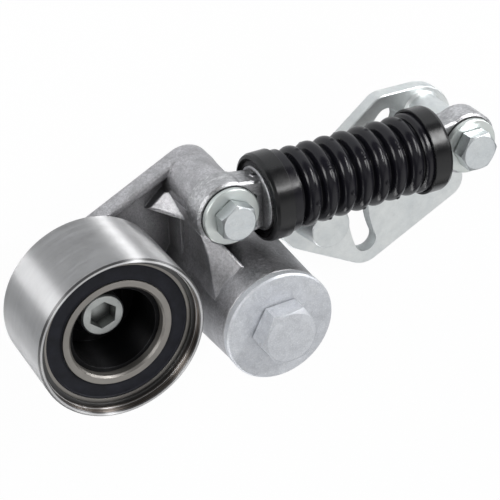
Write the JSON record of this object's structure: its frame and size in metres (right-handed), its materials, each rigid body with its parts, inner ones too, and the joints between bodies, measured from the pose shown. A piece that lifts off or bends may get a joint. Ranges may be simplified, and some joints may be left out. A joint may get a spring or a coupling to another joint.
{
  "type": "serpentine belt tensioner",
  "caption": "Belt tensioner: a pivoting arm carries a flat pulley on ball bearings, and a sprung telescopic strut with a slotted bracket pushes the arm against the belt.",
  "frame": {"origin": "centre of the pivot sleeve's seat on the engine, on the pivot axis", "axes": "+Z along the pivot axis from the engine towards the bolt heads, +X along the strut at rest from the arm towards the bracket, +Y completes a right-handed set"},
  "size_m": [0.2615, 0.1034, 0.0828],
  "materials": {
    "cast_aluminium": "fine-grained cast and blasted, light grey",
    "turned_steel": "turned and ground, satin with fine rings",
    "ring_steel": "ground bearing steel, brownish grey",
    "ball_steel": "polished",
    "cage_polymer": "glass-filled, tan brown",
    "seal_rubber": "moulded, blue-black, satin",
    "spring_steel": "oiled spring wire",
    "circlip_steel": "phosphated, dark",
    "cup_inner_steel": "turned, dark grey inside",
    "zinc_plate": "bright zinc plated, satin",
    "zinc_flake": "matte blue-grey zinc-flake coat",
    "screw_coat": "pale grey-green coat",
    "black_enamel": "glossy black enamel",
    "gaiter_rubber": "glossy moulded black rubber",
    "bush_rubber": "matte black bonded rubber",
    "bush_bronze": "plain bearing bronze",
    "thrust_polymer": "dark low-friction polymer"
  },
  "bodies": {
    "engine_side": {"pivot_sleeve": "turned_steel", "pivot_washer": "zinc_flake", "pivot_bolt": "zinc_flake"},
    "arm": {"arm_casting": "cast_aluminium", "pivot_bush_front": "bush_bronze", "pivot_bush_rear": "bush_bronze", "thrust_ring_front": "thrust_polymer", "thrust_ring_rear": "thrust_polymer", "hub_cup": "cup_inner_steel", "hub_screw": "screw_coat", "bearing_inner_front": "ring_steel", "bearing_inner_rear": "ring_steel", "eye_sleeve_lower": "turned_steel", "strut_washer_lower": "zinc_plate", "strut_bolt_lower": "zinc_plate"},
    "pulley": {"pulley_shell": "turned_steel", "bearing_circlip": "circlip_steel", "bearing_outer_front": "ring_steel", "bearing_outer_rear": "ring_steel", "bearing_balls_front": "ball_steel", "bearing_balls_rear": "ball_steel", "bearing_cage_front": "cage_polymer", "bearing_cage_rear": "cage_polymer", "bearing_seal_front": "seal_rubber", "bearing_seal_rear": "seal_rubber"},
    "strut_lower": {"strut_eye_lower": "cast_aluminium", "eye_bush_lower": "bush_rubber", "spring_cup_lower": "black_enamel", "guide_rod": "turned_steel", "stop_ring": "ring_steel", "coil_spring": "spring_steel", "gaiter": "gaiter_rubber"},
    "strut_upper": {"strut_eye_upper": "cast_aluminium", "eye_bush_upper": "bush_rubber", "spring_cup_upper": "black_enamel", "guide_tube": "turned_steel", "guide_bush": "thrust_polymer"},
    "bracket": {"bracket_plate": "zinc_plate", "bracket_pillar_upper": "zinc_plate", "bracket_pillar_lower": "zinc_plate", "eye_sleeve_upper": "turned_steel", "strut_washer_upper": "zinc_plate", "strut_bolt_upper": "zinc_plate"}
  },
  "joints": [
    {"name": "arm_swing", "type": "hinge", "parent": "engine_side", "child": "arm", "pos_m": [0, 0, 0], "axis": [0, 0, 1], "range_deg": [-22, 0]},
    {"name": "pulley_spin", "type": "hinge", "parent": "arm", "child": "pulley", "pos_m": [-0.077, 0.018, 0], "axis": [0, 0, 1], "continuous": true},
    {"name": "strut_swing", "type": "hinge", "parent": "arm", "child": "strut_lower", "pos_m": [-0.012, 0.052, 0], "axis": [0, 0, 1], "range_deg": [0, 22.5]},
    {"name": "strut_slide", "type": "slide", "parent": "strut_lower", "child": "strut_upper", "axis": [1, 0, 0], "range_m": [-0.021, 0], "stiffness_N_per_m": 15000, "deforming": ["coil_spring", "gaiter"]},
    {"name": "bracket_swing", "type": "hinge", "parent": "strut_upper", "child": "bracket", "pos_m": [0.118, 0.052, 0], "axis": [0, 0, 1], "range_deg": [-4, 4]}
  ],
  "couplings": [
    {"joint": "strut_swing", "follows": "arm_swing", "ratio": -1},
    {"joint": "strut_slide", "follows": "arm_swing", "m_per_rad": 0.0533}
  ]
}
